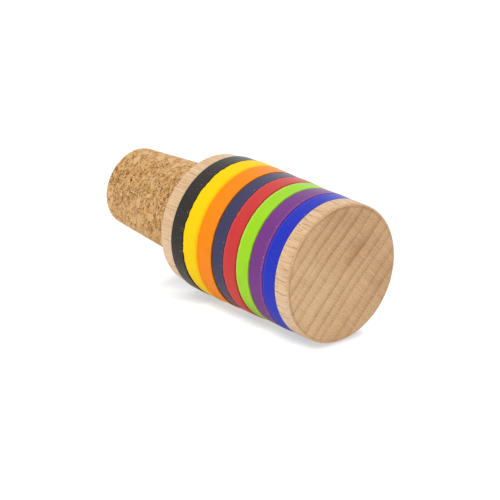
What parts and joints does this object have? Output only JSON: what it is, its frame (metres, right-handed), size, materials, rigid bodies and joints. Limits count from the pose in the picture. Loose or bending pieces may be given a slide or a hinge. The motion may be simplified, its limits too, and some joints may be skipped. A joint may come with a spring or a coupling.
{
  "type": "bottle stopper",
  "caption": "Bottle stopper with a tapered cork plug and a cylindrical beech head that carries a stack of stretch-on silicone bands in different colours.",
  "frame": {"origin": "centre of the head's flat end face, on which the stopper stands", "axes": "+Z along the stopper's axis from the flat end of the head to the tip of the cork; X and Y are any two directions across it, because the stopper is round"},
  "size_m": [0.0322, 0.0322, 0.0698],
  "materials": {
    "beech": "fine-sanded bare beech, pale pinkish tan, end grain darker than the turned side",
    "agglomerated_cork": "pressed cork granules, golden tan with small dark pits",
    "blue_silicone": "matte moulded silicone, royal blue",
    "purple_silicone": "matte moulded silicone, purple",
    "lime_silicone": "matte moulded silicone, lime green",
    "red_silicone": "matte moulded silicone, red",
    "navy_silicone": "matte moulded silicone, dusty navy",
    "orange_silicone": "matte moulded silicone, orange",
    "yellow_silicone": "matte moulded silicone, yellow",
    "black_silicone": "matte moulded silicone, black with fine dust"
  },
  "bodies": {
    "root": {"wooden_head": "beech", "cork_plug": "agglomerated_cork", "blue_band": "blue_silicone", "purple_band": "purple_silicone", "lime_band": "lime_silicone", "red_band": "red_silicone", "navy_band": "navy_silicone", "orange_band": "orange_silicone", "yellow_band": "yellow_silicone", "black_band": "black_silicone"}
  },
  "joints": []
}
